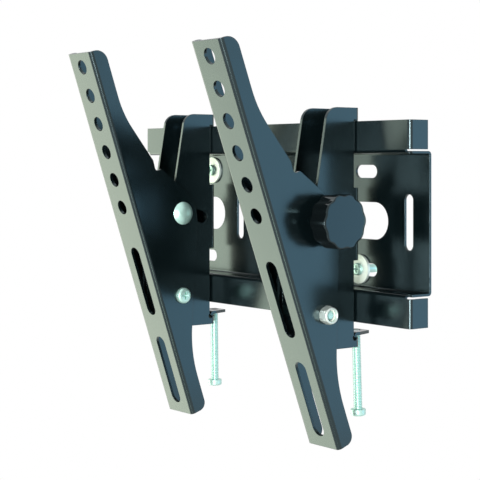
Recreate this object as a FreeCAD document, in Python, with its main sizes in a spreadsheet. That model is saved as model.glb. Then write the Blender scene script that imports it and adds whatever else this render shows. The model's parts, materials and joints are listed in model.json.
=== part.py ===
import FreeCAD, Part
import math
import os
import re
import Sketcher

# TV wall mount: a folded wall plate with two rails, two brackets that hook over the rails,
# and two tilting arms that carry the television.
# X runs along the rails, +Y points into the wall, +Z is up.
# The origin lies in the wall plane, at the middle of the wall plate.

SIZES = {
    # wall plate, one sheet folded to a hat section with a rail above and below
    "plate_sheet": 1.5,
    "plate_half": 141.3,
    "plate_depth": 18.75,
    "plate_bend": 2.4,
    "channel_half": 43.5,
    "rail_half": 62.15,
    "flap_step": 1.2,
    "flap_back": 4.0,
    "flap_slit": 0.1,
    "relief_inset": 2.9,
    "hole_group_inset": 56.0,
    "screw_slot_length": 19.6,
    "screw_slot_width": 8.2,
    "screw_slot_z": 31.0,
    "window_length": 39.8,
    "window_width": 23.4,
    "side_slot_offset": 38.3,
    "side_slot_length": 34.5,
    "side_slot_width": 7.25,
    # wall screws and washers
    "wall_screw_shift": 6.0,
    "wall_screw_dia": 6.0,
    "wall_neck_dia": 5.6,
    "wall_screw_length": 45.0,
    "wall_screw_point": 7.0,
    "wall_head_dia": 12.0,
    "wall_head_height": 4.2,
    "washer_dia": 18.6,
    "washer_hole": 6.4,
    "washer_thick": 1.6,
    # hook brackets, each one sheet folded to a channel that opens to the front
    "bracket_right_x": 81.65,
    "bracket_left_x": -71.1,
    "bracket_sheet": 2.0,
    "bracket_width": 25.0,
    "bracket_bend": 2.8,
    "rail_gap": 0.2,
    "rail_front_gap": 1.3,
    "bracket_top": 70.6,
    "bracket_bottom": -77.8,
    "bracket_top_front": 41.0,
    "bracket_front": 57.9,
    "bracket_lean_end": -26.5,
    "bracket_cheek_end": -58.0,
    "bracket_bottom_front": 50.0,
    "bracket_top_round": 9.0,
    "bracket_low_round": 9.0,
    "hook_seat": 1.05,
    "hook_depth": 11.2,
    "web_top": 21.0,
    "web_bottom": -24.0,
    "tab_top": -69.0,
    "tab_half": 9.6,
    "tab_tip_half": 6.0,
    "tab_tip_y": -1.5,
    "tab_relief": 1.7,
    # pivot and tilt lock
    "pivot_y": -45.0,
    "pivot_z": -55.8,
    "clamp_back": 18.5,
    "clamp_up": 54.0,
    "tilt_right": 20.05,
    "tilt_left": 18.4,
    "tilt_low": -1.0,
    "tilt_high": 22.0,
    "tilt_play": 1.0,
    "lock_slot_width": 8.3,
    # tilting arms, each one sheet folded to a channel that opens to the wall
    "arm_sheet": 2.0,
    "arm_bend": 2.6,
    "nest_gap": 0.5,
    "pivot_inset": 18.5,
    "hole_drop": 171.0,
    "hole_pitch": 20.0,
    "hole_dia": 10.0,
    "hole_bridge": 10.0,
    "arm_above": 9.7,
    "arm_below": 82.3,
    "arm_top_depth": 11.8,
    "arm_low_depth": 12.6,
    "arm_top_round": 8.5,
    "arm_low_round": 5.5,
    "arm_soft_round": 70.0,
    "arm_foot_round": 90.0,
    "shoulder_rise": 37.5,
    "notch_rise": 7.7,
    "notch_start_d": 25.0,
    "notch_up": 89.0,
    "notch_floor_d": 24.6,
    "notch_end_d": 29.6,
    "notch_round": 2.2,
    "bulge_up": 57.3,
    "bulge_d": 51.6,
    "bulge_round": 27.0,
    "foot_down": 40.3,
    "arm_slot_width": 10.0,
    "arm_slot_length": 50.1,
    "arm_slot_gap": 16.4,
    "arm_slot_margin": 7.3,
    # screws of the tilt joint
    "bolt_dia": 6.0,
    "pivot_clear": 0.1,
    "thread_clear": 0.05,
    "neck_side": 6.4,
    "neck_clear": 0.1,
    "neck_depth": 1.8,
    "dome_dia": 15.8,
    "dome_height": 3.8,
    "clamp_length": 44.0,
    "pan_dia": 11.0,
    "pan_height": 3.8,
    "pan_round": 2.4,
    "recess_span": 6.2,
    "recess_slot": 1.3,
    "recess_depth": 1.9,
    "nut_flats": 10.0,
    "nut_height": 5.0,
    "nut_chamfer": 0.8,
    "ring_dia": 8.6,
    "ring_height": 1.3,
    "pivot_tail": 0.6,
    "tail_chamfer": 0.6,
    # knobs
    "knob_gap": 0.2,
    "hub_height": 5.0,
    "hub_dia": 17.0,
    "knob_height": 16.0,
    "knob_dia": 32.8,
    "knob_crown": 2.4,
    "knob_rim_round": 2.2,
    "knob_lobes": 10,
    "knob_lobe_turn": 30.0,
    "flute_dia": 8.0,
    "flute_depth": 1.5,
    "insert_dia": 9.0,
    "insert_height": 15.6,
    # lock screws under the lower rail
    "lock_y": -7.0,
    "lock_length": 50.0,
    "lock_head_dia": 9.6,
    "lock_head_height": 4.3,
    "lock_tip_right": 0.8,
    "lock_tip_left": 0.4,
    "lock_lean_right": 2.0,
    "lock_lean_left": 0.8,
}

# how far two points may lie apart and still count as one
TOLERANCE = 1e-4

# places that several pieces share
HOLE_GROUP = "(plate_half - hole_group_inset)"
ARM_FACE = "(bracket_width / 2 + nest_gap + arm_sheet)"

doc = FreeCAD.newDocument("tv_wall_mount")
sheet = doc.addObject("Spreadsheet::Sheet", "Sizes")
for row, (alias, number) in enumerate(SIZES.items(), start=1):
    sheet.set(f"A{row}", alias)
    sheet.set(f"B{row}", str(number))
    sheet.setAlias(f"B{row}", alias)
doc.recompute()

parts = {}


def named(text):
    """The same expression with every size looked up in the sheet."""
    return re.sub(r"[a-z]\w*", lambda m: f"Sizes.{m[0]}" if m[0] in SIZES else m[0], str(text))


def value(text):
    """The present value of an expression, as a plain number."""
    result = sheet.evalExpression(named(text))
    return float(getattr(result, "Value", result))


def bind(item, path, text):
    item.setExpression(path, named(text))


def new_body(label):
    body = doc.addObject("PartDesign::Body", label)
    body.Label = label
    parts[label] = body
    return body


def sketch_on(body, role, offset=None):
    """A sketch on one of the body's own origin planes, moved along its normal by offset."""
    sketch = body.newObject("Sketcher::SketchObject", f"{body.Name}_sketch")
    plane = next(item for item in body.Origin.OriginFeatures if item.Role == role)
    sketch.AttachmentSupport = (plane, "")
    sketch.MapMode = "FlatFace"
    if offset is not None:
        bind(sketch, "AttachmentOffset.Base.z", offset)
    return sketch


def measure(sketch, kind, first, where, text):
    """Holds a point of the sketch at a signed distance from the sketch's origin."""
    index = sketch.addConstraint(Sketcher.Constraint(kind, -1, 1, first, where, value(text)))
    bind(sketch, f"Constraints[{index}]", text)


def fix_point(sketch, first, where, across, along):
    measure(sketch, "DistanceX", first, where, across)
    measure(sketch, "DistanceY", first, where, along)


def fix_radius(sketch, curve, text):
    index = sketch.addConstraint(Sketcher.Constraint("Radius", curve, value(text)))
    bind(sketch, f"Constraints[{index}]", text)


def add_outline(sketch, corners):
    """A closed chain of straight lines through corners given as pairs of expressions."""
    start = sketch.GeometryCount
    count = len(corners)
    places = [FreeCAD.Vector(value(u), value(v), 0) for u, v in corners]
    for i in range(count):
        sketch.addGeometry(Part.LineSegment(places[i], places[(i + 1) % count]))
    for i, (u, v) in enumerate(corners):
        following = start + (i + 1) % count
        sketch.addConstraint(Sketcher.Constraint("Coincident", start + i, 2, following, 1))
        fix_point(sketch, start + i, 1, u, v)


def add_rectangle(sketch, left, right, low, high):
    add_outline(sketch, [(left, low), (right, low), (right, high), (left, high)])


def add_circle(sketch, u, v, radius):
    centre = FreeCAD.Vector(value(u), value(v), 0)
    circle = sketch.addGeometry(Part.Circle(centre, FreeCAD.Vector(0, 0, 1), value(radius)))
    fix_point(sketch, circle, 3, u, v)
    fix_radius(sketch, circle, radius)


def arc(centre, radius, start_degrees, end_degrees):
    circle = Part.Circle(centre, FreeCAD.Vector(0, 0, 1), radius)
    return Part.ArcOfCircle(circle, math.radians(start_degrees), math.radians(end_degrees))


def add_slot(sketch, u, v, length, width, upright=False):
    """A slot with round ends, centred at u, v."""
    radius = value(width) / 2
    run = f"(({length}) - ({width})) / 2"
    if upright:
        centres = [(u, f"{v} - {run}"), (u, f"{v} + {run}")]
        turn = 90
    else:
        centres = [(f"{u} - {run}", v), (f"{u} + {run}", v)]
        turn = 0
    middles = [FreeCAD.Vector(value(cu), value(cv), 0) for cu, cv in centres]
    first = arc(middles[0], radius, 90 + turn, 270 + turn)
    second = arc(middles[1], radius, -90 + turn, 90 + turn)
    start = sketch.GeometryCount
    sketch.addGeometry(first)
    sketch.addGeometry(Part.LineSegment(first.EndPoint, second.StartPoint))
    sketch.addGeometry(second)
    sketch.addGeometry(Part.LineSegment(second.EndPoint, first.StartPoint))
    for i in range(4):
        following = start + (i + 1) % 4
        sketch.addConstraint(Sketcher.Constraint("Tangent", start + i, 2, following, 1))
    fix_point(sketch, start, 3, *centres[0])
    fix_point(sketch, start + 2, 3, *centres[1])
    fix_radius(sketch, start, f"({width}) / 2")
    sketch.addConstraint(Sketcher.Constraint("Equal", start, start + 2))


def pad(body, sketch, length, symmetric=False, reversed_=False):
    feature = body.newObject("PartDesign::Pad", f"{body.Name}_pad")
    feature.Profile = sketch
    bind(feature, "Length", length)
    if symmetric:
        feature.SideType = "Symmetric"
    feature.Reversed = reversed_
    doc.recompute()
    return feature


def pocket(body, sketch, length=None, both=False, reversed_=False):
    """Cuts the sketch out of the body and makes sure that something went."""
    before = body.Shape.Volume
    feature = body.newObject("PartDesign::Pocket", f"{body.Name}_pocket")
    feature.Profile = sketch
    if length is None:
        feature.Type = "ThroughAll"
    else:
        bind(feature, "Length", length)
    if both:
        feature.SideType = "Symmetric"
    feature.Reversed = reversed_
    doc.recompute()
    if not body.Shape.Volume < before - 1e-6:
        raise RuntimeError(f"{feature.Name} cuts nothing")
    return feature


def revolve(body, sketch, axis, groove=False):
    """Turns the sketch about one of its own axes."""
    kind = "Groove" if groove else "Revolution"
    feature = body.newObject(f"PartDesign::{kind}", f"{body.Name}_{kind.lower()}")
    feature.Profile = sketch
    feature.ReferenceAxis = (sketch, [axis])
    feature.Angle = 360
    doc.recompute()
    return feature


def edges_along(body, axis, corners):
    """Names of the straight edges along an axis that pass through the given corners.

    A corner holds the two expressions for the other two axes, in X, Y, Z order."""
    others = [i for i in range(3) if i != axis]
    wanted = [[value(text) for text in corner] for corner in corners]
    found = []
    for number, edge in enumerate(body.Shape.Edges, start=1):
        ends = [vertex.Point for vertex in edge.Vertexes]
        if len(ends) != 2 or abs(ends[1][axis] - ends[0][axis]) < TOLERANCE:
            continue
        if any(
            all(abs(end[k] - target) < TOLERANCE
                for end in ends for k, target in zip(others, corner))
            for corner in wanted
        ):
            found.append(f"Edge{number}")
    if not found:
        raise RuntimeError(f"{body.Name} has no edge at {corners}")
    return found


def rims_at(body, axis, level):
    """Names of the closed edges whose middle lies at a level along an axis."""
    return [
        f"Edge{number}" for number, edge in enumerate(body.Shape.Edges, start=1)
        if edge.Closed and abs(edge.BoundBox.Center[axis] - value(level)) < TOLERANCE
    ]


def round_edges(body, edges, radius):
    base = body.Tip
    feature = body.newObject("PartDesign::Fillet", f"{body.Name}_fillet")
    feature.Base = (base, edges)
    bind(feature, "Radius", radius)
    doc.recompute()


def place(body, x, y, z, turn=None):
    """Puts a body at x, y, z, turned about the X direction."""
    for axis, text in zip("xyz", (x, y, z)):
        bind(body, f"Placement.Base.{axis}", text)
    if turn is not None:
        body.Placement.Rotation = FreeCAD.Rotation(FreeCAD.Vector(1, 0, 0), value(turn))
        bind(body, "Placement.Rotation.Angle", turn)


def build_wall_plate():
    body = new_body("wall_plate")
    lip_back = "-(plate_depth - plate_sheet)"
    inner = "(channel_half - plate_sheet)"
    upper = [
        ("0", "channel_half"),
        (lip_back, "channel_half"),
        (lip_back, "rail_half"),
        ("-plate_depth", "rail_half"),
        ("-plate_depth", inner),
        ("-plate_sheet", inner),
    ]
    lower = [(u, f"-({v})") for u, v in reversed(upper)]
    section = sketch_on(body, "YZ_Plane")
    add_outline(section, upper + lower)
    pad(body, section, "2 * plate_half", symmetric=True)

    ends = sketch_on(body, "XZ_Plane", "plate_depth - plate_bend - plate_sheet / 2")
    for side in (1, -1):
        for level in (1, -1):
            cut = [
                ("plate_half - relief_inset", f"{inner} - plate_sheet"),
                ("plate_half + plate_sheet", f"{inner} - plate_sheet"),
                ("plate_half + plate_sheet", "rail_half + plate_sheet"),
                ("plate_half - relief_inset", "rail_half + plate_sheet"),
            ]
            add_outline(ends, [(f"{side} * ({u})", f"{level} * ({v})") for u, v in cut])
    pocket(body, ends, "plate_depth", reversed_=True)

    flap_outer = "(plate_half + flap_step)"
    flap_inner = f"({flap_outer} - plate_sheet)"
    flap = [
        ("plate_half - 3 * relief_inset", "-plate_depth"),
        (flap_outer, "-plate_depth"),
        (flap_outer, "-flap_back"),
        (flap_inner, "-flap_back"),
        (flap_inner, lip_back),
        ("plate_half - 3 * relief_inset", lip_back),
    ]
    for side in (1, -1):
        for level in (1, -1):
            bottom = f"{inner} + plate_bend + flap_slit"
            profile = sketch_on(body, "XY_Plane", f"{level} * ({bottom})")
            add_outline(profile, [(f"{side} * ({u})", v) for u, v in flap])
            pad(body, profile, f"rail_half - ({bottom})", reversed_=level < 0)

    outer_folds = edges_along(body, 0, [("0", f"{s} * channel_half") for s in (1, -1)])
    outer_folds += edges_along(body, 0, [("-plate_depth", f"{s} * {inner}") for s in (1, -1)])
    outer_folds += edges_along(body, 2, [(f"{s} * {flap_outer}", "-plate_depth") for s in (1, -1)])
    round_edges(body, outer_folds, "plate_bend")
    inner_folds = edges_along(body, 0, [("-plate_sheet", f"{s} * {inner}") for s in (1, -1)])
    inner_folds += edges_along(body, 0, [(lip_back, f"{s} * channel_half") for s in (1, -1)])
    inner_folds += edges_along(body, 2, [(f"{s} * {flap_inner}", lip_back) for s in (1, -1)])
    round_edges(body, inner_folds, "plate_bend - plate_sheet")

    holes = sketch_on(body, "XZ_Plane")
    for side in (1, -1):
        middle = f"{side} * {HOLE_GROUP}"
        add_slot(holes, middle, "0", "window_length", "window_width")
        for level in (1, -1):
            height = f"{level} * screw_slot_z"
            add_slot(holes, middle, height, "screw_slot_length", "screw_slot_width")
            across = f"{middle} + {level} * side_slot_offset"
            add_slot(holes, across, "0", "side_slot_length", "side_slot_width", upright=True)
    pocket(body, holes, both=True)


def cut_cross_recess(body, role, depth_from, outward):
    """Cuts a cross for the driver into a head whose top lies at depth_from on the axis."""
    for wide, tall in (("recess_span", "recess_slot"), ("recess_slot", "recess_span")):
        profile = sketch_on(body, role, depth_from)
        half_w, half_t = f"({wide}) / 2", f"({tall}) / 2"
        add_rectangle(profile, f"-{half_w}", half_w, f"-{half_t}", half_t)
        pocket(body, profile, "recess_depth", reversed_=outward)


def build_wall_screw(name, side, level):
    """A pan head screw through a slot of the wall plate, with its washer.

    The neck under the head is a little slimmer than the shank in the wall."""
    x = f"{side} * ({HOLE_GROUP} - wall_screw_shift)"
    height = f"{level} * screw_slot_z"
    washer = new_body(f"wall_washer_{name}")
    disc = sketch_on(washer, "XZ_Plane")
    add_circle(disc, "0", "0", "washer_dia / 2")
    add_circle(disc, "0", "0", "washer_hole / 2")
    pad(washer, disc, "washer_thick")
    place(washer, x, "-plate_sheet", height)

    screw = new_body(f"wall_screw_{name}")
    half = sketch_on(screw, "XY_Plane")
    head_radius = "wall_head_dia / 2"
    neck_radius = "wall_neck_dia / 2"
    neck_end = "plate_sheet + washer_thick"
    shank_radius = "wall_screw_dia / 2"
    add_outline(half, [
        ("0", "-wall_head_height"),
        (head_radius, "-wall_head_height"),
        (head_radius, "0"),
        (neck_radius, "0"),
        (neck_radius, neck_end),
        (shank_radius, neck_end),
        (shank_radius, "wall_screw_length - wall_screw_point"),
        ("0", "wall_screw_length"),
    ])
    revolve(screw, half, "V_Axis")
    round_edges(screw, rims_at(screw, 1, "-wall_head_height"), "pan_round")
    cut_cross_recess(screw, "XZ_Plane", "wall_head_height", outward=False)
    place(screw, x, "-plate_sheet - washer_thick", height)


def build_hook_bracket(side_name, x):
    body = new_body(f"hook_bracket_{side_name}")
    back = "-(plate_depth - plate_sheet - rail_gap - bracket_sheet)"
    web_front = "-(plate_depth - plate_sheet - rail_gap)"
    face = "-(plate_depth + rail_front_gap)"
    half = "bracket_width / 2"
    profile = sketch_on(body, "YZ_Plane")
    add_outline(profile, [
        (back, "bracket_top"),
        ("-bracket_top_front", "bracket_top"),
        ("-bracket_front", "bracket_lean_end"),
        ("-bracket_front", "bracket_cheek_end"),
        ("-bracket_bottom_front", "bracket_bottom"),
        (back, "bracket_bottom"),
    ])
    pad(body, profile, "bracket_width", symmetric=True)
    top_corner = edges_along(body, 0, [("-bracket_top_front", "bracket_top")])
    round_edges(body, top_corner, "bracket_top_round")
    low_corners = edges_along(body, 0, [
        ("-bracket_front", "bracket_cheek_end"),
        ("-bracket_bottom_front", "bracket_bottom"),
    ])
    round_edges(body, low_corners, "bracket_low_round")

    channel = sketch_on(body, "XY_Plane")
    inside = f"({half} - bracket_sheet)"
    add_rectangle(channel, f"-{inside}", inside, "-2 * bracket_front", web_front)
    pocket(body, channel, both=True)
    outside = edges_along(body, 2, [(f"{s} * {half}", back) for s in (1, -1)])
    round_edges(body, outside, "bracket_bend")
    inner = edges_along(body, 2, [(f"{s} * {inside}", web_front) for s in (1, -1)])
    round_edges(body, inner, "bracket_bend - bracket_sheet")

    rails = sketch_on(body, "YZ_Plane")
    hook_seat = "rail_half + hook_seat"
    hook_end = "rail_half + hook_seat - hook_depth"
    add_outline(rails, [
        (face, "web_top"),
        ("0", "web_top"),
        ("0", hook_end),
        (web_front, hook_end),
        (web_front, hook_seat),
        (face, hook_seat),
    ])
    shoulder = "tab_top - bracket_bend - rail_gap"
    add_rectangle(rails, face, "0", shoulder, "web_bottom")
    pocket(body, rails, both=True)
    relief = sketch_on(body, "YZ_Plane")
    add_circle(relief, face + " + tab_relief / 2", shoulder, "tab_relief")
    pocket(body, relief, both=True)

    tab = sketch_on(body, "YZ_Plane")
    add_outline(tab, [
        (web_front, "bracket_bottom"),
        (back, "bracket_bottom"),
        (back, "tab_top - bracket_sheet"),
        ("tab_tip_y", "tab_top - bracket_sheet"),
        ("tab_tip_y", "tab_top"),
        (web_front, "tab_top"),
    ])
    pad(body, tab, "2 * tab_half", symmetric=True)
    fold = edges_along(body, 0, [(web_front, "tab_top")])
    round_edges(body, fold, "bracket_bend")
    inner_fold = edges_along(body, 0, [(back, "tab_top - bracket_sheet")])
    round_edges(body, inner_fold, "bracket_bend - bracket_sheet")
    taper = sketch_on(body, "XY_Plane", "tab_top - 1.5 * bracket_sheet")
    for side in (1, -1):
        add_outline(taper, [
            (f"{side} * tab_half", f"{back} + bracket_bend"),
            (f"{side} * 2 * tab_half", f"{back} + bracket_bend"),
            (f"{side} * 2 * tab_half", "tab_tip_y + bracket_sheet"),
            (f"{side} * tab_tip_half", "tab_tip_y + bracket_sheet"),
            (f"{side} * tab_tip_half", "tab_tip_y"),
        ])
    pocket(body, taper, "2 * bracket_sheet", reversed_=True)

    tapped = sketch_on(body, "YZ_Plane")
    middle_z = "(tab_top - bracket_sheet / 2)"
    lean = f"lock_lean_{side_name}"
    run = "bracket_sheet"
    radius = "(bolt_dia / 2 + thread_clear)"
    corners = []
    for along, away in ((run, "0"), (run, radius), (f"-{run}", radius), (f"-{run}", "0")):
        across = f"lock_y + {away} * cos({lean}) - ({along}) * sin({lean})"
        up = f"{middle_z} + {away} * sin({lean}) + ({along}) * cos({lean})"
        corners.append((across, up))
    start = tapped.GeometryCount
    add_outline(tapped, corners)
    hole = body.newObject("PartDesign::Groove", f"{body.Name}_tapped_hole")
    hole.Profile = tapped
    hole.ReferenceAxis = (tapped, [f"Edge{start + 4}"])
    hole.Angle = 360
    doc.recompute()

    pivot = sketch_on(body, "YZ_Plane")
    add_circle(pivot, "pivot_y", "pivot_z", "bolt_dia / 2 + pivot_clear")
    add_tilt_slot(pivot)
    pocket(body, pivot, both=True)
    place(body, x, "0", "0")


def add_tilt_slot(sketch):
    """The curved slot in which the clamp bolt travels, an arc about the pivot."""
    radius = "sqrt(clamp_up^2 + clamp_back^2)"
    half = "lock_slot_width / 2"
    ends = []
    for tilt in ("(tilt_low + tilt_play)", "(tilt_high - tilt_play)"):
        across = f"pivot_y + clamp_back * cos({tilt}) - clamp_up * sin({tilt})"
        up = f"pivot_z + clamp_back * sin({tilt}) + clamp_up * cos({tilt})"
        ends.append((across, up))
    pivot = FreeCAD.Vector(value("pivot_y"), value("pivot_z"), 0)
    back, front = (FreeCAD.Vector(value(u), value(v), 0) for u, v in ends)
    to_back = (back - pivot).normalize() * value(half)
    to_front = (front - pivot).normalize() * value(half)
    z_axis = FreeCAD.Vector(0, 0, 1)

    def through(start, end, centre):
        """The arc from start to end about a centre, taken counter-clockwise."""
        circle = Part.Circle(centre, z_axis, (start - centre).Length)
        return Part.ArcOfCircle(circle, circle.parameter(start), circle.parameter(end))

    start = sketch.GeometryCount
    sketch.addGeometry(through(back + to_back, front + to_front, pivot))
    sketch.addGeometry(through(front + to_front, front - to_front, front))
    sketch.addGeometry(through(back - to_back, front - to_front, pivot))
    sketch.addGeometry(through(back - to_back, back + to_back, back))
    outer, front_cap, inner, back_cap = range(start, start + 4)
    for one, one_end, other, other_end in (
        (outer, 2, front_cap, 1), (front_cap, 2, inner, 2),
        (inner, 1, back_cap, 1), (back_cap, 2, outer, 1),
    ):
        sketch.addConstraint(Sketcher.Constraint("Tangent", one, one_end, other, other_end))
    fix_point(sketch, outer, 3, "pivot_y", "pivot_z")
    sketch.addConstraint(Sketcher.Constraint("Coincident", outer, 3, inner, 3))
    fix_radius(sketch, outer, f"{radius} + {half}")
    fix_radius(sketch, inner, f"{radius} - {half}")
    measure(sketch, "DistanceX", back_cap, 3, ends[0][0])
    measure(sketch, "DistanceX", front_cap, 3, ends[1][0])


def build_arm(side_name, side, x):
    """A tilting arm in its own upright frame, with the pivot at the origin."""
    body = new_body(f"tv_arm_{side_name}")
    front = "-pivot_inset"

    def at(up, d):
        """A point given by its height above the pivot and its depth behind the front."""
        return f"({d}) - pivot_inset", up

    top = "hole_drop + arm_above"
    bottom = "-arm_below"
    notch_top = "notch_up + notch_rise"
    top_outer = at(top, "arm_top_depth")
    shoulder = at(f"{notch_top} + shoulder_rise", "arm_top_depth")
    notch_start = at(notch_top, "notch_start_d")
    notch_floor = at("notch_up", "notch_floor_d")
    notch_end = at("notch_up", "notch_end_d")
    bulge = at("bulge_up", "bulge_d")
    foot = at("-foot_down", "arm_low_depth")
    bottom_outer = at(bottom, "arm_low_depth")
    profile = sketch_on(body, "YZ_Plane")
    add_outline(profile, [
        at(top, "0"), top_outer, shoulder, notch_start, notch_floor, notch_end,
        bulge, foot, bottom_outer, at(bottom, "0"),
    ])
    pad(body, profile, f"2 * {ARM_FACE}", symmetric=True)
    for corner, radius in (
        (top_outer, "arm_top_round"), (shoulder, "arm_soft_round"), (notch_floor, "notch_round"),
        (notch_start, "notch_round / 2"), (notch_end, "notch_round / 2"),
        (bulge, "bulge_round"), (foot, "arm_foot_round"), (bottom_outer, "arm_low_round"),
    ):
        round_edges(body, edges_along(body, 0, [corner]), radius)

    channel = sketch_on(body, "XY_Plane")
    inside = f"({ARM_FACE} - arm_sheet)"
    floor = f"({front} + arm_sheet)"
    add_rectangle(channel, f"-{inside}", inside, floor, "2 * bulge_d")
    pocket(body, channel, both=True)
    outer_folds = edges_along(body, 2, [(f"{s} * {ARM_FACE}", front) for s in (1, -1)])
    round_edges(body, outer_folds, "arm_bend")
    inner_folds = edges_along(body, 2, [(f"{s} * {inside}", floor) for s in (1, -1)])
    round_edges(body, inner_folds, "arm_bend - arm_sheet")

    slots = sketch_on(body, "XZ_Plane")
    lower_middle = "(arm_slot_margin + arm_slot_length / 2 - arm_below)"
    upper_middle = f"({lower_middle} + arm_slot_length + arm_slot_gap)"
    for middle in (lower_middle, upper_middle):
        add_slot(slots, "0", middle, "arm_slot_length", "arm_slot_width", upright=True)
    pocket(body, slots, both=True)

    hole = sketch_on(body, "XZ_Plane")
    add_circle(hole, "0", "hole_drop", "hole_dia / 2")
    first_hole = pocket(body, hole, both=True)
    row = body.newObject("PartDesign::LinearPattern", f"{body.Name}_hole_row")
    row.Originals = [first_hole]
    row.Direction = (hole, ["V_Axis"])
    row.Reversed = True
    row.Mode = "Spacing"
    bind(row, "Offset", "hole_pitch")
    lowest_hole = f"({upper_middle} + arm_slot_length / 2 + hole_bridge + hole_dia / 2)"
    bind(row, "Occurrences", f"floor((hole_drop - {lowest_hole}) / hole_pitch) + 1")
    body.Tip = row
    doc.recompute()

    pivot = sketch_on(body, "YZ_Plane")
    add_circle(pivot, "0", "0", "bolt_dia / 2 + pivot_clear")
    pocket(body, pivot, both=True)
    knob_hole = sketch_on(body, "YZ_Plane")
    add_circle(knob_hole, "clamp_back", "clamp_up", "bolt_dia / 2 + pivot_clear")
    pocket(body, knob_hole, f"2 * {ARM_FACE}", reversed_=side > 0)
    neck = sketch_on(body, "YZ_Plane")
    reach = "(neck_side / 2 + neck_clear)"
    add_rectangle(neck, f"clamp_back - {reach}", f"clamp_back + {reach}",
                  f"clamp_up - {reach}", f"clamp_up + {reach}")
    pocket(body, neck, f"2 * {ARM_FACE}", reversed_=side < 0)
    place(body, x, "pivot_y", "pivot_z", f"tilt_{side_name}")


def place_on_arm(body, side_name, x, back, up):
    """Puts a body at a point of the tilted arm, given from the pivot, and tilts it with it."""
    tilt = f"tilt_{side_name}"
    y = f"pivot_y + {back} * cos({tilt}) - {up} * sin({tilt})"
    z = f"pivot_z + {back} * sin({tilt}) + {up} * cos({tilt})"
    place(body, x, y, z, tilt)


def outward(side, text):
    """A length along X that grows towards the knob side of the arm."""
    return f"{side} * ({text})"


def build_clamp_bolt(side_name, side, x):
    """Carriage bolt: a domed head, a square neck in the arm and a plain shank."""
    body = new_body(f"clamp_bolt_{side_name}")
    head = f"-{ARM_FACE}"
    tip = f"{head} + clamp_length"
    dome = sketch_on(body, "XY_Plane")
    base = FreeCAD.Vector(side * value(head), value("dome_dia / 2"), 0)
    top = FreeCAD.Vector(side * value(f"{head} - dome_height"), 0, 0)
    centre_x = f"{head} - dome_height + (dome_dia^2 / 4 + dome_height^2) / (2 * dome_height)"
    centre = FreeCAD.Vector(side * value(centre_x), 0, 0)
    circle = Part.Circle(centre, FreeCAD.Vector(0, 0, 1), (base - centre).Length)
    ends = (top, base) if side < 0 else (base, top)
    turned = sorted((circle.parameter(ends[0]), circle.parameter(ends[1])))
    curve = Part.ArcOfCircle(circle, *turned)
    starts_at_top = (curve.StartPoint - top).Length < 1e-6
    dome.addGeometry(curve)
    foot = FreeCAD.Vector(base.x, 0, 0)
    dome.addGeometry(Part.LineSegment(base, foot))
    dome.addGeometry(Part.LineSegment(foot, top))
    top_end, base_end = (1, 2) if starts_at_top else (2, 1)
    for one, one_end, other, other_end in ((0, base_end, 1, 1), (1, 2, 2, 1), (2, 2, 0, top_end)):
        dome.addConstraint(Sketcher.Constraint("Coincident", one, one_end, other, other_end))
    fix_point(dome, 1, 1, outward(side, head), "dome_dia / 2")
    fix_point(dome, 1, 2, outward(side, head), "0")
    fix_point(dome, 2, 2, outward(side, f"{head} - dome_height"), "0")
    fix_radius(dome, 0, "(dome_dia^2 / 4 + dome_height^2) / (2 * dome_height)")
    revolve(body, dome, "H_Axis")

    shank = sketch_on(body, "XY_Plane")
    radius = "bolt_dia / 2"
    add_outline(shank, [
        (outward(side, head), "0"),
        (outward(side, head), radius),
        (outward(side, f"{tip} - tail_chamfer"), radius),
        (outward(side, tip), f"{radius} - tail_chamfer"),
        (outward(side, tip), "0"),
    ])
    revolve(body, shank, "H_Axis")
    neck = sketch_on(body, "YZ_Plane", outward(side, head))
    add_rectangle(neck, "-neck_side / 2", "neck_side / 2", "-neck_side / 2", "neck_side / 2")
    pad(body, neck, "neck_depth", reversed_=side < 0)
    place_on_arm(body, side_name, x, "clamp_back", "clamp_up")


def build_pivot_screw(side_name, side, x):
    """Pan head screw through arm and bracket, held by a nut with a locking ring."""
    body = new_body(f"pivot_screw_{side_name}")
    head = f"-{ARM_FACE}"
    tip = f"{ARM_FACE} + nut_height + ring_height + pivot_tail"
    half = sketch_on(body, "XY_Plane")
    add_outline(half, [
        (outward(side, f"{head} - pan_height"), "0"),
        (outward(side, f"{head} - pan_height"), "pan_dia / 2"),
        (outward(side, head), "pan_dia / 2"),
        (outward(side, head), "bolt_dia / 2"),
        (outward(side, f"{tip} - tail_chamfer"), "bolt_dia / 2"),
        (outward(side, tip), "bolt_dia / 2 - tail_chamfer"),
        (outward(side, tip), "0"),
    ])
    revolve(body, half, "H_Axis")
    head_top = outward(-side, f"{ARM_FACE} + pan_height")
    round_edges(body, rims_at(body, 0, head_top), "pan_round")
    cut_cross_recess(body, "YZ_Plane", head_top, side > 0)
    place_on_arm(body, side_name, x, "0", "0")


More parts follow.
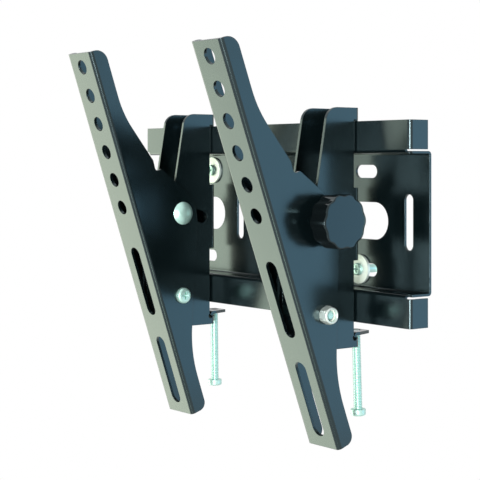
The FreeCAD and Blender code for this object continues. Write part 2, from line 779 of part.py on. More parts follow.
def build_pivot_nut(side_name, side, x):
    """The hexagon nut, and the plastic ring in its outer end."""
    bore = "bolt_dia / 2 + thread_clear"
    nut = new_body(f"pivot_nut_{side_name}")
    hexagon = sketch_on(nut, "YZ_Plane", outward(side, ARM_FACE))
    corner_radius = "(nut_flats / 2 / cos(30))"
    add_outline(hexagon, [
        (f"{corner_radius} * cos({angle})", f"{corner_radius} * sin({angle})")
        for angle in range(0, 360, 60)
    ])
    add_circle(hexagon, "0", "0", bore)
    pad(nut, hexagon, "nut_height", reversed_=side < 0)
    cone = sketch_on(nut, "XY_Plane")
    end = f"{ARM_FACE} + nut_height"
    add_outline(cone, [
        (outward(side, end), "nut_flats / 2 - nut_chamfer / 4"),
        (outward(side, end), "nut_flats"),
        (outward(side, f"{end} - (nut_flats / 2 + nut_chamfer / 4) * tan(30)"), "nut_flats"),
    ])
    revolve(nut, cone, "H_Axis", groove=True)
    place_on_arm(nut, side_name, x, "0", "0")

    ring = new_body(f"pivot_nut_ring_{side_name}")
    section = sketch_on(ring, "YZ_Plane", outward(side, end))
    add_circle(section, "0", "0", "ring_dia / 2")
    add_circle(section, "0", "0", bore)
    pad(ring, section, "ring_height", reversed_=side < 0)
    place_on_arm(ring, side_name, x, "0", "0")


def build_knob(side_name, side, x):
    """Star knob with a closed crown, and its threaded insert."""
    grip = new_body(f"knob_grip_{side_name}")
    inner = f"({ARM_FACE} + knob_gap)"
    body_start = f"({inner} + hub_height)"
    rim_end = f"({body_start} + knob_height - knob_crown)"
    bore_end = f"({inner} + insert_height)"
    half = sketch_on(grip, "XY_Plane")
    add_outline(half, [
        (outward(side, inner), "insert_dia / 2"),
        (outward(side, inner), "hub_dia / 2"),
        (outward(side, body_start), "hub_dia / 2"),
        (outward(side, body_start), "knob_dia / 2"),
        (outward(side, rim_end), "knob_dia / 2"),
        (outward(side, f"{rim_end} + knob_crown"), "knob_dia / 4"),
        (outward(side, f"{rim_end} + knob_crown"), "0"),
        (outward(side, bore_end), "0"),
        (outward(side, bore_end), "insert_dia / 2"),
    ])
    revolve(grip, half, "H_Axis")
    outer = value("knob_dia / 2")
    rims = [
        f"Edge{number}" for number, edge in enumerate(grip.Shape.Edges, start=1)
        if edge.Closed and abs(edge.BoundBox.YMax - outer) < TOLERANCE
    ]
    round_edges(grip, rims, "knob_rim_round")
    flute = sketch_on(grip, "YZ_Plane", outward(side, body_start))
    reach = "(knob_dia / 2 - flute_depth + flute_dia / 2)"
    angle = "(knob_lobe_turn - 180 / knob_lobes)"
    add_circle(flute, f"{reach} * cos({angle})", f"{reach} * sin({angle})", "flute_dia / 2")
    first_flute = pocket(grip, flute, "knob_height", reversed_=side > 0)
    ring = grip.newObject("PartDesign::PolarPattern", f"{grip.Name}_flutes")
    ring.Originals = [first_flute]
    ring.Axis = (flute, ["N_Axis"])
    ring.Angle = 360
    bind(ring, "Occurrences", "knob_lobes")
    grip.Tip = ring
    doc.recompute()
    place_on_arm(grip, side_name, x, "clamp_back", "clamp_up")

    insert = new_body(f"knob_insert_{side_name}")
    tube = sketch_on(insert, "YZ_Plane", outward(side, inner))
    add_circle(tube, "0", "0", "insert_dia / 2")
    add_circle(tube, "0", "0", "bolt_dia / 2 + thread_clear")
    pad(insert, tube, "insert_height", reversed_=side < 0)
    place_on_arm(insert, side_name, x, "clamp_back", "clamp_up")


def build_lock_screw(side_name, x):
    """The screw that keeps the bracket from lifting off, seen backed off to its last thread."""
    body = new_body(f"lock_screw_{side_name}")
    tip = f"lock_tip_{side_name}"
    under = f"({tip} - lock_length)"
    half = sketch_on(body, "XZ_Plane")
    add_outline(half, [
        ("0", f"{under} - lock_head_height"),
        ("lock_head_dia / 2", f"{under} - lock_head_height"),
        ("lock_head_dia / 2", under),
        ("bolt_dia / 2", under),
        ("bolt_dia / 2", f"{tip} - tail_chamfer"),
        ("bolt_dia / 2 - tail_chamfer", tip),
        ("0", tip),
    ])
    revolve(body, half, "V_Axis")
    head_end = f"{under} - lock_head_height"
    round_edges(body, rims_at(body, 2, head_end), "pan_round / 2")
    cut_cross_recess(body, "XY_Plane", head_end, outward=True)
    place(body, x, "lock_y", "tab_top - bracket_sheet / 2", f"lock_lean_{side_name}")


build_wall_plate()
build_wall_screw("upper_left", -1, 1)
build_wall_screw("lower_right", 1, -1)
for side_name, side in (("right", 1), ("left", -1)):
    centre = f"bracket_{side_name}_x"
    build_hook_bracket(side_name, centre)
    build_arm(side_name, side, centre)
    build_clamp_bolt(side_name, side, centre)
    build_pivot_screw(side_name, side, centre)
    build_pivot_nut(side_name, side, centre)
    build_knob(side_name, side, centre)
    build_lock_screw(side_name, centre)

doc.recompute()
for item in doc.Objects:
    if "Invalid" in item.State or "Error" in item.State:
        raise RuntimeError(f"{item.Name} failed: {item.State}")
for label, body in parts.items():
    if body.Shape.isNull() or not body.Shape.isValid():
        raise RuntimeError(f"{label} has no valid shape")

os.makedirs("parts", exist_ok=True)
for label, body in parts.items():
    body.Shape.exportStep(f"parts/{label}.step")
    box = body.Shape.BoundBox
    print(f"{label}: {len(body.Shape.Solids)} solid, {body.Shape.Volume:.0f} mm3, "
          f"x {box.XMin:.1f} {box.XMax:.1f} y {box.YMin:.1f} {box.YMax:.1f} "
          f"z {box.ZMin:.1f} {box.ZMax:.1f}")
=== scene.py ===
import json
import math

import bmesh
import bpy
from mathutils import Matrix, Vector

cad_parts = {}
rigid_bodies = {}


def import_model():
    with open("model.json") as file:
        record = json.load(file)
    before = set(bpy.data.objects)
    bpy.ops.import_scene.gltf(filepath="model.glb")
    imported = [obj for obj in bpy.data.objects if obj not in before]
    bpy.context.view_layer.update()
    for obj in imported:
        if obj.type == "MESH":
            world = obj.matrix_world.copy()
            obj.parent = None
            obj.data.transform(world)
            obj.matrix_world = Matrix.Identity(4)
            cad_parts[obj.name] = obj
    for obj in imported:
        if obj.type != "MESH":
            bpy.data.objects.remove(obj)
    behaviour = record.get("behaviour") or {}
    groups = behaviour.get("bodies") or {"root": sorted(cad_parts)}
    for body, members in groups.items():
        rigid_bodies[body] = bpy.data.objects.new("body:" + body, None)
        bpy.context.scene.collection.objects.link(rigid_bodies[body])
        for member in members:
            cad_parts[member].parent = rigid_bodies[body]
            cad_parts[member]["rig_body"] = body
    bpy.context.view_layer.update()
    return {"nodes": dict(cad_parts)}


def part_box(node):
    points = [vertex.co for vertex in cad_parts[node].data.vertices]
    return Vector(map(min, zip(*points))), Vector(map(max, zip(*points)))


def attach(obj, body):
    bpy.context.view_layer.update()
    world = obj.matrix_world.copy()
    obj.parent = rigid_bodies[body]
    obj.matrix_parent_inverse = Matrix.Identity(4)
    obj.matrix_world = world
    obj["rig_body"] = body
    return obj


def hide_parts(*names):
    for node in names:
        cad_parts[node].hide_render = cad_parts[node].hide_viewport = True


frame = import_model()

# Tilting television wall mount: folded sheet steel in gloss black paint, zinc plated screws.
# Sizes are in metres. X runs along the rails, +Y points into the wall, Z is up.

MM = 0.001
SIDES = {"right": 1, "left": -1}

# Colours of the finishes

PAINT_DEEP = (0.0014, 0.0034, 0.0042, 1)
PAINT_PALE = (0.0030, 0.0066, 0.0076, 1)
PAINT_SHEEN = (0.70, 0.95, 1.0, 1)
ZINC_DULL = (0.44, 0.70, 0.63, 1)
ZINC_PALE = (0.56, 0.82, 0.75, 1)
WASHER_DULL = (0.74, 0.84, 0.79, 1)
WASHER_PALE = (0.86, 0.95, 0.90, 1)
NUT_DULL = (0.62, 0.70, 0.66, 1)
NUT_PALE = (0.72, 0.79, 0.74, 1)
NYLON_SHADED = (0.70, 0.72, 0.66, 1)
NYLON_PALE = (0.84, 0.86, 0.80, 1)
PLASTIC_DEEP = (0.0014, 0.0022, 0.0026, 1)
PLASTIC_PALE = (0.0030, 0.0044, 0.0050, 1)
BRASS_DULL = (0.58, 0.44, 0.20, 1)
BRASS_PALE = (0.80, 0.63, 0.33, 1)
FLOOR_DULL = (0.86, 0.86, 0.85, 1)
FLOOR_PALE = (0.90, 0.90, 0.89, 1)

PAINT_IOR = 1.6
PLASTIC_IOR = 1.5
PLATING_METAL = 0.6
CUT_EDGE_SOFTENING = 0.4 * MM
CUT_EDGE_SAMPLES = 4
BUMP_DEPTH = 0.02 * MM
NOISE_LOW = 0.3
NOISE_HIGH = 0.7

# Screws with a 6 mm machine thread: bevelled ends as (radius, height) in mm

SCREW_CORE = 2.45 * MM
SCREW_PITCH = 1.0 * MM
SCREW_RIDGE = 0.42 * MM
SCREW_END = 0.6 * MM
SCREW_END_PROFILE = ((0, -0.4), (2.45, -0.4), (2.35, 0.0), (2.0, 0.55), (0, 0.6))
END_SIDES = 32

# Threads of all the screws

THREAD_STEPS = 20
THREAD_CORNERS = 3
THREAD_CORE_SIDES = 32

# Pan heads: radius, height, rounding of the rim, and span of the cross recess; the shoulder's
# reach and rise are shares of the radius and of the crown

LOCK_HEAD = (4.8 * MM, 4.1 * MM, 1.3 * MM, 6.0 * MM)
PIVOT_HEAD = (5.5 * MM, 3.65 * MM, 2.2 * MM, 6.0 * MM)
WALL_HEAD = (3.9 * MM, 1.8 * MM, 0.7 * MM, 5.6 * MM)
HEAD_FOOT = 0.15 * MM
HEAD_CROWN = 0.15 * MM
HEAD_SHOULDER_REACH = 0.3
HEAD_SHOULDER_RISE = 0.8
HEAD_ARC_END = 78
HEAD_ARC_STEPS = 6

# Cross recess: width, depth and rise of the cutter as shares of the span; its floor as shares of
# its mouth

RECESS_WIDTH = 0.21
RECESS_DEPTH = 0.37
RECESS_RISE = 0.2 * RECESS_DEPTH
RECESS_FLOOR_SPAN = 0.40
RECESS_FLOOR_WIDTH = 0.80
RECESS_ABOVE_HEAD = 0.2 * MM

# Lock screws, from below into the tabs of the brackets; their lean is in degrees

LOCK_LEAN = {"right": 2.0, "left": 0.8}
LOCK_TIP = {"right": 0.8 * MM, "left": 0.4 * MM}
LOCK_Y = -7.0 * MM
LOCK_Z = -70.0 * MM
LOCK_LENGTH = 50.0 * MM

# Tilt pivots with their lock nuts: loops of the nut and its ring as (radius, height) in mm

PIVOT_HEAD_HEIGHT = 3.8 * MM
NUT_FLAT = 5.0 * MM
NUT_LOOP = ((3.05, 0.0), (5.2, 0.0), (5.9, 0.4), (5.9, 3.9), (5.6, 4.3), (5.3, 4.6), (5.2, 4.9),
            (5.15, 5.4), (5.0, 5.85), (4.7, 6.15), (4.3, 6.3), (3.95, 6.25), (3.75, 6.05),
            (3.65, 5.8), (3.65, 3.4), (3.05, 3.4))
NUT_RING_LOOP = ((3.02, 3.4), (3.64, 3.4), (3.64, 4.2), (3.5, 4.3), (3.2, 4.3), (3.02, 4.2))
NUT_SIDES = 96
NUT_SCREW_DEPTH = 2.3 * MM

# Carriage bolts that clamp the arms

CARRIAGE_RADIUS = 7.9 * MM
CARRIAGE_HEIGHT = 3.8 * MM
CARRIAGE_STEPS = 14
CARRIAGE_FOOT = 0.10 * MM
CARRIAGE_RIM = 0.12 * MM
CARRIAGE_RIM_TOP = 0.14 * MM
NECK_WIDTH = 6.4 * MM
NECK_DEPTH = 1.8 * MM

# Wall screws: coarse thread, plain neck, long point

WALL_CORE = 2.1 * MM
WALL_PITCH = 2.6 * MM
WALL_RIDGE = 0.62 * MM
WALL_HEAD_ROOM = 4.2 * MM
WALL_NECK_RADIUS = 2.7 * MM
WALL_NECK = 13.0 * MM
WALL_NECK_TAPER = 0.8 * MM
WALL_POINT = 9.0 * MM
WALL_POINT_RADIUS = 0.05 * MM
WALL_POINT_RIDGE = 0.85 * WALL_RIDGE
WALL_END_GAP = 0.3 * MM

# Star knobs: turn, back start and rim end in degrees; KNOB_SHORT is how far the face lies inside
# its solid; flute values without a unit are shares of a full flute

KNOB_TURN = {"right": 2.5, "left": 20.0}
KNOB_LOBES = 10
KNOB_SIDES = 200
KNOB_OUTER = 16.7 * MM
KNOB_SHORT = 1.6 * MM
KNOB_FLUTE = 1.0 * MM
KNOB_FLUTE_SHARPNESS = 1.4
KNOB_BACK_FLUTE = 0.9
KNOB_RIM_FADE = 0.06
KNOB_FACE_FLUTE = 0.55
KNOB_HUB = 8.5 * MM
KNOB_HUB_EDGE = 0.4 * MM
KNOB_HUB_END = 5.0 * MM
KNOB_HUB_FILLET = 0.5 * MM
KNOB_BACK_EDGE = 2.2 * MM
KNOB_BACK_ROUND = 1.5 * MM
KNOB_BACK_RISE = 0.15 * MM
KNOB_BACK_START = -75
KNOB_BACK_STEPS = 5
KNOB_RIM = 0.7 * MM
KNOB_RIM_END = 77
KNOB_RIM_STEPS = 7
KNOB_CROWN = 0.25 * MM
KNOB_FACE_STEPS = 9
KNOB_BORE = 4.55 * MM
KNOB_BORE_MOUTH = 4.9 * MM
KNOB_BORE_EDGE = 0.3 * MM
KNOB_BORE_DEPTH = 15.6 * MM

# Angle in degrees above which an edge stays sharp

SHARP_EDGE = 32
KNOB_SHARP_EDGE = 40

# Sides of a turned piece, where it has no number of its own

LATHE_SIDES = 48


# Helpers for node trees


def add_node(tree, kind, **settings):
    """A new node with the given properties, and with inputs set by their names."""
    node = tree.nodes.new(kind)
    inputs = settings.pop("inputs", {})
    for name, value in settings.items():
        setattr(node, name, value)
    for name, value in inputs.items():
        if isinstance(value, bpy.types.NodeSocket):
            tree.links.new(value, node.inputs[name])
        else:
            node.inputs[name].default_value = value
    return node


def math_node(tree, operation, first, second):
    """The result of a sum, product or the like of two sockets."""
    node = add_node(tree, "ShaderNodeMath", operation=operation)
    tree.links.new(first, node.inputs[0])
    tree.links.new(second, node.inputs[1])
    return node.outputs["Value"]


def shader_group(name, inputs, outputs):
    """An empty shader node group with named sockets, and its two end nodes."""
    tree = bpy.data.node_groups.new(name, "ShaderNodeTree")
    for label, default in inputs.items():
        socket = tree.interface.new_socket(label, in_out="INPUT", socket_type="NodeSocketFloat")
        socket.default_value = default
    for label in outputs:
        tree.interface.new_socket(label, in_out="OUTPUT", socket_type="NodeSocketFloat")
    return tree, tree.nodes.new("NodeGroupInput"), tree.nodes.new("NodeGroupOutput")


def object_noise(tree, scale, detail, roughness=0.5):
    """Noise on the piece's own coordinates."""
    place = add_node(tree, "ShaderNodeTexCoord")
    return add_node(tree, "ShaderNodeTexNoise", inputs={
        "Vector": place.outputs["Object"], "Scale": scale, "Detail": detail,
        "Roughness": roughness})


# Effects that several finishes share


def build_paint_skin():
    """The soft ripple of a sprayed or powdered coat, with broad slow changes in its gloss."""
    tree, given, result = shader_group(
        "paint_skin", {"Ripple Scale": 700.0, "Cloud Scale": 22.0}, ["Ripple", "Cloud"])
    ripple = object_noise(tree, given.outputs["Ripple Scale"], detail=2.0)
    cloud = object_noise(tree, given.outputs["Cloud Scale"], detail=3.0, roughness=0.6)
    tree.links.new(ripple.outputs["Fac"], result.inputs["Ripple"])
    tree.links.new(cloud.outputs["Fac"], result.inputs["Cloud"])
    return tree


def build_handling_marks():
    """Sparse fine dust and rub marks from handling, as a mask."""
    tree, given, result = shader_group(
        "handling_marks", {"Speck Scale": 260.0, "Amount": 0.12}, ["Marks"])
    place = add_node(tree, "ShaderNodeTexCoord")
    specks = add_node(tree, "ShaderNodeTexVoronoi", inputs={
        "Vector": place.outputs["Object"], "Scale": given.outputs["Speck Scale"]})
    fine = add_node(tree, "ShaderNodeMapRange", inputs={
        "Value": specks.outputs["Distance"], "From Min": 0.02, "From Max": 0.16,
        "To Min": 1.0, "To Max": 0.0})
    patches = object_noise(tree, 60.0, detail=4.0, roughness=0.7)
    chosen = add_node(tree, "ShaderNodeMapRange", inputs={
        "Value": patches.outputs["Fac"], "From Min": 0.52, "From Max": 0.70})
    both = math_node(tree, "MULTIPLY", fine.outputs["Result"], chosen.outputs["Result"])
    marks = math_node(tree, "MULTIPLY", both, given.outputs["Amount"])
    tree.links.new(marks, result.inputs["Marks"])
    return tree


def build_metal_grain():
    """The crystalline mottling of plating, and the fine lines of drawn wire along one axis."""
    tree, given, result = shader_group(
        "metal_grain", {"Mottle Scale": 900.0, "Line Scale": 2400.0}, ["Mottle", "Lines"])
    mottle = object_noise(tree, given.outputs["Mottle Scale"], detail=3.0, roughness=0.65)
    place = add_node(tree, "ShaderNodeTexCoord")
    stretch = add_node(tree, "ShaderNodeMapping", inputs={
        "Vector": place.outputs["Object"], "Scale": (1.0, 1.0, 0.08)})
    lines = add_node(tree, "ShaderNodeTexNoise", inputs={
        "Vector": stretch.outputs["Vector"], "Detail": 2.0,
        "Scale": given.outputs["Line Scale"]})
    tree.links.new(mottle.outputs["Fac"], result.inputs["Mottle"])
    tree.links.new(lines.outputs["Fac"], result.inputs["Lines"])
    return tree


PAINT_SKIN = build_paint_skin()
HANDLING_MARKS = build_handling_marks()
METAL_GRAIN = build_metal_grain()


def place_group(tree, group, **inputs):
    """The group in a material, with its values; an underscore stands for a space."""
    node = tree.nodes.new("ShaderNodeGroup")
    node.node_tree = group
    for name, value in inputs.items():
        node.inputs[name.replace("_", " ")].default_value = value
    return node.outputs


# Finishes


def new_material(name):
    """A material with its node tree and its shader."""
    material = bpy.data.materials.new(name)
    material.use_nodes = True
    tree = material.node_tree
    return material, tree, tree.nodes["Principled BSDF"]


def mixed_colour(tree, shader, mask, low, high):
    """Base Color goes from low to high with the mask."""
    mix = add_node(tree, "ShaderNodeMix", data_type="RGBA")
    tree.links.new(mask, mix.inputs["Factor"])
    first, second = [socket for socket in mix.inputs if socket.type == "RGBA"]
    first.default_value = low
    second.default_value = high
    colour = next(socket for socket in mix.outputs if socket.type == "RGBA")
    tree.links.new(colour, shader.inputs["Base Color"])


def varied_gloss(tree, shader, mask, low, high, marks=None):
    """Roughness goes from low to high with the mask, and is more where the marks are."""
    gloss = add_node(tree, "ShaderNodeMapRange", inputs={
        "Value": mask, "From Min": NOISE_LOW, "From Max": NOISE_HIGH, "To Min": low,
        "To Max": high})
    gloss = gloss.outputs["Result"]
    if marks is not None:
        gloss = math_node(tree, "ADD", gloss, marks)
    tree.links.new(gloss, shader.inputs["Roughness"])


def bumped(tree, shader, height, strength, normal=None):
    """Fine relief from the height, on top of the given normal."""
    bump = add_node(tree, "ShaderNodeBump", inputs={
        "Strength": strength, "Distance": BUMP_DEPTH, "Height": height})
    if normal is not None:
        tree.links.new(normal, bump.inputs["Normal"])
    tree.links.new(bump.outputs["Normal"], shader.inputs["Normal"])


def black_paint():
    """Gloss black coat on folded sheet: softened cut edges, slight ripple, a little dust."""
    material, tree, shader = new_material("black_paint")
    skin = place_group(tree, PAINT_SKIN, Ripple_Scale=650.0, Cloud_Scale=24.0)
    marks = place_group(tree, HANDLING_MARKS, Speck_Scale=300.0, Amount=0.16)
    mixed_colour(tree, shader, skin["Cloud"], PAINT_DEEP, PAINT_PALE)
    varied_gloss(tree, shader, skin["Cloud"], 0.17, 0.23, marks["Marks"])
    soft_edge = add_node(tree, "ShaderNodeBevel", samples=CUT_EDGE_SAMPLES,
                         inputs={"Radius": CUT_EDGE_SOFTENING})
    bumped(tree, shader, skin["Ripple"], 0.05, soft_edge.outputs["Normal"])
    shader.inputs["IOR"].default_value = PAINT_IOR
    shader.inputs["Specular Tint"].default_value = PAINT_SHEEN
    return material


def plated_steel(name, dull, pale, gloss_low, gloss_high):
    """Zinc plating: pale, slightly mint, mottled at the scale of the plating."""
    material, tree, shader = new_material(name)
    grain = place_group(tree, METAL_GRAIN, Mottle_Scale=800.0, Line_Scale=2200.0)
    marks = place_group(tree, HANDLING_MARKS, Speck_Scale=900.0, Amount=0.2)
    mixed_colour(tree, shader, grain["Mottle"], dull, pale)
    varied_gloss(tree, shader, grain["Mottle"], gloss_low, gloss_high, marks["Marks"])
    bumped(tree, shader, grain["Lines"], 0.12)
    shader.inputs["Metallic"].default_value = PLATING_METAL
    return material


def zinc():
    """Bright plating of the screws and bolts."""
    return plated_steel("zinc", ZINC_DULL, ZINC_PALE, 0.30, 0.42)


def washer_zinc():
    """The duller plating of the stamped washers."""
    return plated_steel("washer_zinc", WASHER_DULL, WASHER_PALE, 0.50, 0.64)


def nut_zinc():
    """The whiter plating of the lock nuts."""
    return plated_steel("nut_zinc", NUT_DULL, NUT_PALE, 0.34, 0.46)


def white_nylon():
    """The locking rings inside the nuts."""
    material, tree, shader = new_material("white_nylon")
    skin = place_group(tree, PAINT_SKIN, Ripple_Scale=2200.0, Cloud_Scale=300.0)
    mixed_colour(tree, shader, skin["Cloud"], NYLON_SHADED, NYLON_PALE)
    varied_gloss(tree, shader, skin["Ripple"], 0.40, 0.55)
    bumped(tree, shader, skin["Ripple"], 0.10)
    return material


def black_plastic():
    """Moulded black plastic of the knobs, glossy with a fine even grain."""
    material, tree, shader = new_material("black_plastic")
    skin = place_group(tree, PAINT_SKIN, Ripple_Scale=2600.0, Cloud_Scale=60.0)
    marks = place_group(tree, HANDLING_MARKS, Speck_Scale=500.0, Amount=0.12)
    mixed_colour(tree, shader, skin["Cloud"], PLASTIC_DEEP, PLASTIC_PALE)
    varied_gloss(tree, shader, skin["Cloud"], 0.06, 0.10, marks["Marks"])
    bumped(tree, shader, skin["Ripple"], 0.05)
    shader.inputs["IOR"].default_value = PLASTIC_IOR
    shader.inputs["Specular Tint"].default_value = PAINT_SHEEN
    return material


def brass_insert():
    """The threaded inserts of the knobs."""
    material, tree, shader = new_material("brass_insert")
    grain = place_group(tree, METAL_GRAIN, Mottle_Scale=600.0, Line_Scale=1800.0)
    mixed_colour(tree, shader, grain["Mottle"], BRASS_DULL, BRASS_PALE)
    varied_gloss(tree, shader, grain["Lines"], 0.22, 0.36)
    bumped(tree, shader, grain["Lines"], 0.10)
    shader.inputs["Metallic"].default_value = 1.0
    return material


FINISHES = {build.__name__: build() for build in (
    black_paint, zinc, washer_zinc, nut_zinc, white_nylon, black_plastic, brass_insert)}

FINISH_OF_NODE = {"wall_plate": "black_paint", "hook_bracket": "black_paint",
                  "tv_arm": "black_paint", "knob_grip": "black_plastic",
                  "knob_insert": "brass_insert", "pivot_nut_ring": "white_nylon",
                  "wall_washer": "washer_zinc"}


def finish_of(node_name):
    """The finish of a node, by the start of its name."""
    for start, finish in FINISH_OF_NODE.items():
        if node_name.startswith(start):
            return finish
    return "zinc"


for node_name, node_object in frame["nodes"].items():
    node_object.data.materials.clear()
    node_object.data.materials.append(FINISHES[finish_of(node_name)])


# Helpers for meshes


def ring_of(solid, sides, reach_at, height):
    """A ring of vertices about Z; reach_at gives the radius at an angle."""
    turn = [2 * math.pi * i / sides for i in range(sides)]
    return [solid.verts.new((reach_at(a) * math.cos(a), reach_at(a) * math.sin(a), height))
            for a in turn]


def band_between(solid, lower, upper):
    """Faces between two rings, or between a ring and the single vertex on the axis."""
    sides = max(len(lower), len(upper))
    for i in range(sides):
        j = (i + 1) % sides
        if len(lower) == 1:
            solid.faces.new((lower[0], upper[j], upper[i]))
        elif len(upper) == 1:
            solid.faces.new((lower[i], lower[j], upper[0]))
        else:
            solid.faces.new((lower[i], lower[j], upper[j], upper[i]))


def mesh_from(solid, name):
    """The finished mesh of what was built."""
    mesh = bpy.data.meshes.new(name)
    solid.to_mesh(mesh)
    solid.free()
    return mesh


def closed_mesh_from(solid, name):
    """The finished mesh of a closed solid, with its faces outwards."""
    bmesh.ops.recalc_face_normals(solid, faces=solid.faces)
    return mesh_from(solid, name)


def lathe(profile, name, sides=LATHE_SIDES):
    """A closed solid turned about Z from (radius, height) pairs that begin and end on the axis."""
    solid = bmesh.new()
    rings = []
    for radius, height in profile:
        if radius == 0:
            rings.append([solid.verts.new((0, 0, height))])
        else:
            rings.append(ring_of(solid, sides, lambda angle: radius, height))
    for lower, upper in zip(rings, rings[1:]):
        band_between(solid, lower, upper)
    return closed_mesh_from(solid, name)


def new_piece(name, mesh):
    """An object in the scene that shows the mesh."""
    piece = bpy.data.objects.new(name, mesh)
    bpy.context.scene.collection.objects.link(piece)
    return piece


def evaluated_mesh(piece, name):
    """The piece's mesh with its modifiers worked in, as a plain mesh."""
    graph = bpy.context.evaluated_depsgraph_get()
    graph.update()
    mesh = bpy.data.meshes.new_from_object(piece.evaluated_get(graph), depsgraph=graph)
    mesh.name = name
    return mesh


def remove_piece(piece):
    """Takes a helper object and its mesh out again."""
    mesh = piece.data
    bpy.data.objects.remove(piece)
    if mesh.users == 0:
        bpy.data.meshes.remove(mesh)


def shade(mesh, angle=SHARP_EDGE):
    """Smooth shading, with edges sharper than the angle kept."""
    for face in mesh.polygons:
        face.use_smooth = True
    mesh.set_sharp_from_angle(angle=math.radians(angle))


def arc(radius, height, round_, start, end, steps):
    """Profile points from start to end, in degrees, on an arc that touches radius and height."""
    angles = [math.radians(start + (end - start) * i / steps) for i in range(steps + 1)]
    return [(radius - round_ + round_ * math.cos(angle), height - round_ + round_ * math.sin(angle))
            for angle in angles]


def placed_along(start, direction):
    """A place whose +Z runs along direction from start."""
    turn = Vector(direction).normalized().to_track_quat("Z", "Y")
    return Matrix.Translation(Vector(start)) @ turn.to_matrix().to_4x4()


def stand_for(piece, node_name, finish):
    """The piece takes the place of a CAD node and moves with its body."""
    body = frame["nodes"][node_name]["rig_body"]
    piece.data.materials.clear()
    piece.data.materials.append(FINISHES[finish])
    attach(piece, body)
    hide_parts(node_name)


def ends_along_x(node_name, side):
    """The inner and the outer X of a node that lies along X, and the middle of its box."""
    low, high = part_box(node_name)
    inner, outer = (low.x, high.x) if SIDES[side] > 0 else (high.x, low.x)
    return inner, outer, (low + high) / 2


# Threads


def build_thread_tree():
    """Geometry Nodes tree of a threaded shank: a core with a ridge that winds round it."""
    tree = bpy.data.node_groups.new("threaded_shank", "GeometryNodeTree")
    tree.is_modifier = True
    tree.interface.new_socket("Geometry", in_out="INPUT", socket_type="NodeSocketGeometry")
    for label, default in (("Length", 0.04), ("Pitch", 0.001), ("Core Radius", 0.00245),
                           ("Ridge Size", 0.0005), ("Tip Radius", 0.00245)):
        socket = tree.interface.new_socket(label, in_out="INPUT", socket_type="NodeSocketFloat")
        socket.default_value = default
    tree.interface.new_socket("Finish", in_out="INPUT", socket_type="NodeSocketMaterial")
    tree.interface.new_socket("Geometry", in_out="OUTPUT", socket_type="NodeSocketGeometry")
    given = tree.nodes.new("NodeGroupInput").outputs
    result = tree.nodes.new("NodeGroupOutput").inputs
    helix = add_node(tree, "GeometryNodeCurveSpiral", inputs={
        "Resolution": THREAD_STEPS,
        "Rotations": math_node(tree, "DIVIDE", given["Length"], given["Pitch"]),
        "Start Radius": given["Core Radius"], "End Radius": given["Tip Radius"],
        "Height": given["Length"]})
    upright = add_node(tree, "GeometryNodeSetCurveNormal", mode="Z_UP", inputs={
        "Curve": helix.outputs["Curve"]})
    ridge = add_node(tree, "GeometryNodeCurvePrimitiveCircle", inputs={
        "Resolution": THREAD_CORNERS, "Radius": given["Ridge Size"]})
    turned = add_node(tree, "GeometryNodeTransform", inputs={
        "Geometry": ridge.outputs["Curve"], "Rotation": (0, 0, math.pi)})
    wound = add_node(tree, "GeometryNodeCurveToMesh", inputs={
        "Curve": upright.outputs["Curve"], "Profile Curve": turned.outputs["Geometry"],
        "Fill Caps": True})
    core = add_node(tree, "GeometryNodeMeshCone", inputs={
        "Vertices": THREAD_CORE_SIDES, "Radius Bottom": given["Core Radius"],
        "Radius Top": given["Tip Radius"], "Depth": given["Length"]})
    both = add_node(tree, "GeometryNodeJoinGeometry")
    tree.links.new(wound.outputs["Mesh"], both.inputs["Geometry"])
    tree.links.new(core.outputs["Mesh"], both.inputs["Geometry"])
    real = add_node(tree, "GeometryNodeRealizeInstances", inputs={
        "Geometry": both.outputs["Geometry"]})
    finish = add_node(tree, "GeometryNodeSetMaterial", inputs={
        "Geometry": real.outputs["Geometry"], "Material": given["Finish"]})
    tree.links.new(finish.outputs["Geometry"], result["Geometry"])
    return tree


THREAD_TREE = build_thread_tree()


def thread_mesh(length, pitch, core, ridge, tip=None):
    """A threaded shank along +Z from the origin."""
    holder = new_piece("shank", bpy.data.meshes.new("shank"))
    modifier = holder.modifiers.new("thread", "NODES")
    modifier.node_group = THREAD_TREE
    values = {"Length": length, "Pitch": pitch, "Core Radius": core, "Ridge Size": ridge,
              "Tip Radius": core if tip is None else tip, "Finish": FINISHES["zinc"]}
    for item in THREAD_TREE.interface.items_tree:
        if item.item_type == "SOCKET" and item.in_out == "INPUT" and item.name in values:
            modifier[item.identifier] = values[item.name]
    mesh = evaluated_mesh(holder, "shank")
    holder.modifiers.remove(modifier)
    remove_piece(holder)
    return mesh


# Screws


def cross_cutter(span, height):
    """A tapered cross to sink a driver recess with; its top is a little above height."""
    cutter = bmesh.new()
    for lies_along_x in (False, True):
        for vert in bmesh.ops.create_cube(cutter, size=1.0)["verts"]:
            at_floor = vert.co.z < 0
            reach = span * (RECESS_FLOOR_SPAN if at_floor else 1)
            thick = span * RECESS_WIDTH * (RECESS_FLOOR_WIDTH if at_floor else 1)
            vert.co.x *= reach if lies_along_x else thick
            vert.co.y *= thick if lies_along_x else reach
            vert.co.z = height + span * (-RECESS_DEPTH if at_floor else RECESS_RISE)
    return mesh_from(cutter, "cutter")


